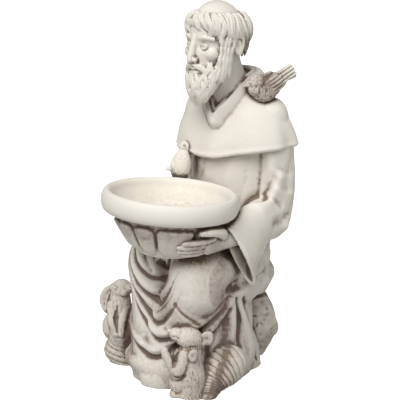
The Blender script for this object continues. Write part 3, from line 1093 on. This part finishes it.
# Share of solid in each cell: faces above a cell add their upward area over the cell's own area. Every triangle is
# read at the middles of its four quarters. Faces on the floor are left out, so the solid seems to go on under it.
def solidGrid(low, shape):
    cell = washForm["gridCell"]
    filled = np.zeros(shape, bool)
    quarters = np.array([(2, 2, 2), (4, 1, 1), (1, 4, 1), (1, 1, 4)]) / 6
    for mesh in [piece.data for piece, finish in pieces]:
        mesh.calc_loop_triangles()
        corners, points = np.empty(len(mesh.loop_triangles) * 3, np.int32), np.empty(len(mesh.vertices) * 3)
        mesh.loop_triangles.foreach_get("vertices", corners)
        mesh.vertices.foreach_get("co", points)
        triangles = points.reshape(-1, 3)[corners.reshape(-1, 3)]
        triangles = triangles[triangles[:, :, 2].max(1) > washForm["floorSkin"]]
        upward = np.cross(triangles[:, 1] - triangles[:, 0], triangles[:, 2] - triangles[:, 0])[:, 2] / 2
        amount = np.zeros(filled.size)
        for shares in quarters:
            spots = ((np.einsum("k,nkj->nj", shares, triangles) - low) / cell).astype(int)
            flat = np.ravel_multi_index(tuple(np.clip(spots, 0, np.array(shape) - 1).T), shape)
            amount += np.bincount(flat, upward / len(quarters), filled.size)
        above = np.cumsum(amount.reshape(shape)[:, :, ::-1], axis=2)[:, :, ::-1]
        filled |= above / cell ** 2 > 0.5
    return filled.astype(np.float32)


# Mean over a cube of cells, by running sums along each axis in turn
def boxMean(field, half):
    for axis in range(3):
        padded = np.concatenate([np.repeat(np.take(field, [0], axis), half + 1, axis), field,
                                 np.repeat(np.take(field, [-1], axis), half, axis)], axis)
        total = np.cumsum(padded, axis=axis, dtype=np.float64)
        size = field.shape[axis]
        upper = np.take(total, np.arange(2 * half + 1, 2 * half + 1 + size), axis)
        lower = np.take(total, np.arange(size), axis)
        field = ((upper - lower) / (2 * half + 1)).astype(np.float32)
    return field


# Value of a field at places between its cells: the eight cells around, weighed by nearness
def readField(field, low, places):
    spots = (places - low) / washForm["gridCell"] - 0.5
    base = np.clip(np.floor(spots).astype(int), 0, np.array(field.shape) - 2)
    part = np.clip(spots - base, 0, 1)
    total = np.zeros(len(places))
    for corner in range(8):
        step = np.array((corner & 1, corner >> 1 & 1, corner >> 2 & 1))
        weight = np.where(step == 1, part, 1 - part).prod(1)
        total += weight * field[tuple((base + step).T)]
    return total


# How far the surface lies under its own smoothed copy, in the figure's units; below zero on an edge
def hollowness(mesh, normals, points):
    copy = bpy.data.objects.new("smoothed", mesh)
    bpy.context.collection.objects.link(copy)
    smooth = copy.modifiers.new("smooth", 'SMOOTH')
    smooth.factor = 0.5
    smooth.iterations = washForm["curveSteps"]
    finished = copy.evaluated_get(bpy.context.evaluated_depsgraph_get()).to_mesh()
    soft = np.empty(len(points) * 3)
    finished.vertices.foreach_get("co", soft)
    bpy.data.objects.remove(copy)
    return ((soft.reshape(-1, 3) - points) * normals).sum(1) / grid["unit"]


# Wash: how shut in a point is near by and farther off, how deep its hollow is, how low it lies, and the patches
def layWash():
    cell = washForm["gridCell"]
    low = np.array(cadLow) - washForm["margin"]
    shape = tuple(int(size) for size in np.ceil((np.array(cadHigh) + washForm["margin"] - low) / cell))
    filled = solidGrid(low, shape)
    near = boxMean(filled, max(1, round(washForm["nearReach"] / cell)))
    far = boxMean(filled, round(washForm["farReach"] / cell))
    for piece, finish in pieces:
        mesh = piece.data
        points, normals = np.empty(len(mesh.vertices) * 3), np.empty(len(mesh.vertices) * 3)
        mesh.vertices.foreach_get("co", points)
        mesh.vertex_normals.foreach_get("vector", normals)
        points, normals = points.reshape(-1, 3), normals.reshape(-1, 3)
        shutNear = readField(near, low, points + normals * (washForm["nearReach"] + cell))
        shutFar = readField(far, low, points + normals * (washForm["farReach"] + cell))
        hollow = hollowness(mesh, normals, points)
        onGrid = (points - np.asarray(grid["shift"])) / grid["unit"]
        wash = washForm["shutNear"] * shutNear + washForm["shutFar"] * shutFar
        wash += washForm["hollowGain"][finish] * np.clip(hollow, 0, washForm["deepestHollow"])
        wash += washForm["lowDown"] * np.clip(1 - onGrid[:, 2] / washForm["lowDownTop"], 0, 1) ** 0.7
        for centre, radius, strength in washForm["patches"].get(piece.name, ()):
            wash += strength * nearPlace(onGrid, centre, radius)
        edge = np.clip(-hollow * washForm["edgeGain"], 0, 1)
        for name, values in (("wash", np.clip(wash, 0, 1.5)), ("edge", edge)):
            layer = mesh.attributes.new(name, 'FLOAT', 'POINT')
            layer.data.foreach_set("value", values.astype(np.float32))
        print("wash on", piece.name, round(float(wash.mean()), 3))


# Materials

# Per finish: how much wash it takes, the wash from which it starts, its blotches, grain and roughness
finishes = {
    "skin": {"washGain": 0.95, "washStart": 0.16, "blotch": 0.08, "grain": 0.10, "roughness": 0.62},
    "cloth": {"washGain": 1.0, "washStart": 0.14, "blotch": 0.12, "grain": 0.14, "roughness": 0.68},
    "bowl": {"washGain": 1.0, "washStart": 0.22, "blotch": 0.05, "grain": 0.06, "roughness": 0.55},
    "rock": {"washGain": 1.15, "washStart": 0.08, "blotch": 0.2, "grain": 0.3, "roughness": 0.78},
    "fur": {"washGain": 1.15, "washStart": 0.06, "blotch": 0.16, "grain": 0.16, "roughness": 0.72},
}
stoneColours = {"light": (0.74, 0.70, 0.62, 1), "pale": (0.82, 0.79, 0.72, 1), "wash": (0.26, 0.195, 0.15, 1),
                "deep": (0.055, 0.04, 0.03, 1)}
stoneGrain = {
    # Noises: scale, detail and roughness
    "broad": (38, 3, 0.6), "medium": (210, 4, 0.7), "fine": (1500, 3, 0.6), "dust": (620, 2, 0.5),
    "breakUp": 1.3, "breakBase": 0.38, "blotchMiddle": 0.52, "maskGain": 1.5, "deepStart": 0.78, "deepGain": 1.5,
    "edgeGain": 0.7, "dustStart": 0.66, "dustGain": 4.0, "dustStrength": 0.22, "washRoughness": 0.16,
    "grainRoughness": 0.14, "fineHeight": 0.5, "mediumHeight": 0.8,
    "specular": 0.35, "bumpStrength": 0.5, "bumpDistance": 0.0012,
}


# A node with its settings: a name that is one of its inputs sets that input, any other sets the node
def addNode(tree, kind, **settings):
    node = tree.nodes.new(kind)
    for name, value in settings.items():
        if name in node.inputs:
            node.inputs[name].default_value = value
        else:
            setattr(node, name, value)
    return node


# Aged cast stone: a wash mask broken up by two noises picks between the pale stone, the wash and the deepest dirt
def agedStoneGroup():
    group = bpy.data.node_groups.new("agedStone", 'ShaderNodeTree')
    sockets = [("Vector", 'NodeSocketVector', None), ("Wash", 'NodeSocketFloat', 0), ("Edge", 'NodeSocketFloat', 0),
               ("Wash Gain", 'NodeSocketFloat', 1), ("Wash Start", 'NodeSocketFloat', 0.15),
               ("Blotch", 'NodeSocketFloat', 0.1), ("Grain", 'NodeSocketFloat', 0.1),
               ("Roughness Base", 'NodeSocketFloat', 0.65)]
    for name, kind, value in sockets:
        socket = group.interface.new_socket(name, in_out='INPUT', socket_type=kind)
        if value is not None:
            socket.default_value = value
    for name, kind in (("Color", 'NodeSocketColor'), ("Roughness", 'NodeSocketFloat'), ("Height", 'NodeSocketFloat')):
        group.interface.new_socket(name, in_out='OUTPUT', socket_type=kind)
    enter, leave = addNode(group, 'NodeGroupInput'), addNode(group, 'NodeGroupOutput')
    link = group.links.new

    def noise(name):
        scale, detail, roughness = stoneGrain[name]
        node = addNode(group, 'ShaderNodeTexNoise', Scale=scale, Detail=detail, Roughness=roughness)
        link(enter.outputs["Vector"], node.inputs["Vector"])
        return node.outputs["Fac"]

    def math(kind, a, b, clamp=False):
        node = group.nodes.new('ShaderNodeMath')
        node.operation = kind
        node.use_clamp = clamp
        for socket, value in zip(node.inputs, (a, b)):
            if isinstance(value, (int, float)):
                socket.default_value = value
            else:
                link(value, socket)
        return node.outputs[0]

    def mix(factor, a, b):
        node = addNode(group, 'ShaderNodeMix', data_type='RGBA')
        link(factor, node.inputs[0])
        for socket, value in ((node.inputs[6], a), (node.inputs[7], b)):
            if isinstance(value, tuple):
                socket.default_value = value
            else:
                link(value, socket)
        return node.outputs[2]

    broad, medium, fine, dust = noise("broad"), noise("medium"), noise("fine"), noise("dust")
    breaker = math('ADD', math('MULTIPLY', medium, stoneGrain["breakUp"]), stoneGrain["breakBase"])
    broken = math('MULTIPLY', breaker, enter.outputs["Wash"])
    blotch = math('MULTIPLY', math('SUBTRACT', broad, stoneGrain["blotchMiddle"]), enter.outputs["Blotch"])
    mask = math('SUBTRACT', math('ADD', broken, blotch), enter.outputs["Wash Start"])
    mask = math('MULTIPLY', math('MULTIPLY', mask, enter.outputs["Wash Gain"]), stoneGrain["maskGain"], True)
    deepMask = math('MULTIPLY', math('SUBTRACT', mask, stoneGrain["deepStart"]), stoneGrain["deepGain"], True)
    worn = math('MULTIPLY', enter.outputs["Edge"], stoneGrain["edgeGain"], True)
    washed = mix(mask, mix(worn, stoneColours["light"], stoneColours["pale"]), stoneColours["wash"])
    deep = mix(deepMask, washed, stoneColours["deep"])
    speckle = math('MULTIPLY', math('SUBTRACT', dust, stoneGrain["dustStart"]), stoneGrain["dustGain"], True)
    link(mix(math('MULTIPLY', speckle, stoneGrain["dustStrength"]), deep, stoneColours["wash"]), leave.inputs["Color"])
    rough = math('ADD', enter.outputs["Roughness Base"], math('MULTIPLY', mask, stoneGrain["washRoughness"]))
    grainy = math('MULTIPLY', math('SUBTRACT', fine, 0.5), stoneGrain["grainRoughness"])
    link(math('ADD', rough, grainy), leave.inputs["Roughness"])
    fineHeight = math('MULTIPLY', fine, stoneGrain["fineHeight"])
    height = math('ADD', fineHeight, math('MULTIPLY', medium, stoneGrain["mediumHeight"]))
    link(math('MULTIPLY', height, enter.outputs["Grain"]), leave.inputs["Height"])
    return group


# Material of one finish: the aged stone group with the finish's values, the piece's wash and edge, and a fine bump
def stoneMaterial(name, values, group):
    material = bpy.data.materials.new(name)
    material.use_nodes = True
    tree = material.node_tree
    shader = tree.nodes["Principled BSDF"]
    shader.inputs["Specular IOR Level"].default_value = stoneGrain["specular"]
    place = addNode(tree, 'ShaderNodeTexCoord')
    wash = addNode(tree, 'ShaderNodeAttribute', attribute_name="wash")
    edge = addNode(tree, 'ShaderNodeAttribute', attribute_name="edge")
    stone = addNode(tree, 'ShaderNodeGroup', node_tree=group)
    for socket, value in (("Wash Gain", "washGain"), ("Wash Start", "washStart"), ("Blotch", "blotch"),
                          ("Grain", "grain"), ("Roughness Base", "roughness")):
        stone.inputs[socket].default_value = values[value]
    bump = addNode(tree, 'ShaderNodeBump', Strength=stoneGrain["bumpStrength"],
                   Distance=stoneGrain["bumpDistance"])
    link = tree.links.new
    link(place.outputs["Object"], stone.inputs["Vector"])
    link(wash.outputs["Fac"], stone.inputs["Wash"])
    link(edge.outputs["Fac"], stone.inputs["Edge"])
    link(stone.outputs["Color"], shader.inputs["Base Color"])
    link(stone.outputs["Roughness"], shader.inputs["Roughness"])
    link(stone.outputs["Height"], bump.inputs["Height"])
    link(bump.outputs["Normal"], shader.inputs["Normal"])
    return material


# Each piece gets the material of its finish and takes the place of the one solid
def finishPieces():
    group = agedStoneGroup()
    materials = {name: stoneMaterial("castStone" + name.capitalize(), values, group)
                 for name, values in finishes.items()}
    for piece, finish in pieces:
        piece.data.materials.append(materials[finish])
        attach(piece, "root")
        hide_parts("saint_francis_statue")


# Camera, floor and light
studio = {
    "azimuth": 35.0, "elevation": 14.0, "distance": 2.1, "target": (0.0068, 0.0273, 0.2274), "lens": 145.39,
    "sensor": 36.0, "floorSize": 12.0, "sunAzimuth": 12.0, "sunElevation": 50.0, "sunSoftnessDeg": 46.0,
    "sunPower": 3.0, "fillAzimuth": 100, "fillElevation": 30, "fillSoftnessDeg": 80, "fillPower": 0.42,
    "skyLight": 0.22, "floorGlow": 0.95, "floorTone": 0.55, "floorRoughness": 0.9,
}


# Unit vector to an azimuth from the front towards the left and an elevation
def pointing(azimuthDeg, elevationDeg):
    a, e = np.radians((azimuthDeg, elevationDeg))
    return Vector((np.sin(a) * np.cos(e), -np.cos(a) * np.cos(e), np.sin(e)))


# Sun lamp that shines from an azimuth and an elevation; its softness is the angle that it fills
def addSun(name, azimuth, elevation, power, softness):
    lamp = bpy.data.lights.new(name, 'SUN')
    lamp.energy = power
    lamp.angle = np.radians(softness)
    light = bpy.data.objects.new(name, lamp)
    light.rotation_mode = 'QUATERNION'
    light.rotation_quaternion = (-pointing(azimuth, elevation)).to_track_quat('-Z', 'Y')
    bpy.context.collection.objects.link(light)


# Camera, floor, both suns and the pale sky; the floor's glow is seen by the camera alone
def setStudio():
    lens = bpy.data.cameras.new("camera")
    lens.lens, lens.sensor_width = studio["lens"], studio["sensor"]
    camera = bpy.data.objects.new("camera", lens)
    back = pointing(studio["azimuth"], studio["elevation"])
    camera.location = Vector(studio["target"]) + back * studio["distance"]
    camera.rotation_mode = 'QUATERNION'
    camera.rotation_quaternion = (-back).to_track_quat('-Z', 'Y')
    bpy.context.collection.objects.link(camera)
    bpy.context.scene.camera = camera
    half = studio["floorSize"] / 2
    mesh = bpy.data.meshes.new("floor")
    mesh.from_pydata([(-half, -half, 0), (half, -half, 0), (half, half, 0), (-half, half, 0)], [], [(0, 1, 2, 3)])
    floor = bpy.data.objects.new("floor", mesh)
    paper = bpy.data.materials.new("palePaper")
    paper.use_nodes = True
    shader = paper.node_tree.nodes["Principled BSDF"]
    shader.inputs["Base Color"].default_value = (*(studio["floorTone"],) * 3, 1)
    shader.inputs["Roughness"].default_value = studio["floorRoughness"]
    shader.inputs["Emission Color"].default_value = (1, 1, 1, 1)
    rays = paper.node_tree.nodes.new('ShaderNodeLightPath')
    glow = addNode(paper.node_tree, 'ShaderNodeMath', operation='MULTIPLY')
    glow.inputs[1].default_value = studio["floorGlow"]
    paper.node_tree.links.new(rays.outputs["Is Camera Ray"], glow.inputs[0])
    paper.node_tree.links.new(glow.outputs[0], shader.inputs["Emission Strength"])
    mesh.materials.append(paper)
    bpy.context.collection.objects.link(floor)
    addSun("keyLight", studio["sunAzimuth"], studio["sunElevation"], studio["sunPower"], studio["sunSoftnessDeg"])
    addSun("fillLight", studio["fillAzimuth"], studio["fillElevation"], studio["fillPower"], studio["fillSoftnessDeg"])
    world = bpy.data.worlds.new("softRoom")
    world.use_nodes = True
    world.node_tree.nodes["Background"].inputs["Color"].default_value = (1, 1, 1, 1)
    world.node_tree.nodes["Background"].inputs["Strength"].default_value = studio["skyLight"]
    bpy.context.scene.world = world
    bpy.context.scene.view_settings.view_transform = 'Standard'


# Pieces, wash, materials and studio in turn
for makeIt in (headPiece, capePiece, upperPiece, bowlPiece, handsPiece, robePiece, rockPiece, rabbitPiece, tuftPiece,
               squirrelPiece, shellPiece, shoulderBirdPiece, bowlBirdPiece):
    makeIt()
layWash()
finishPieces()
setStudio()
print("all pieces are finished")
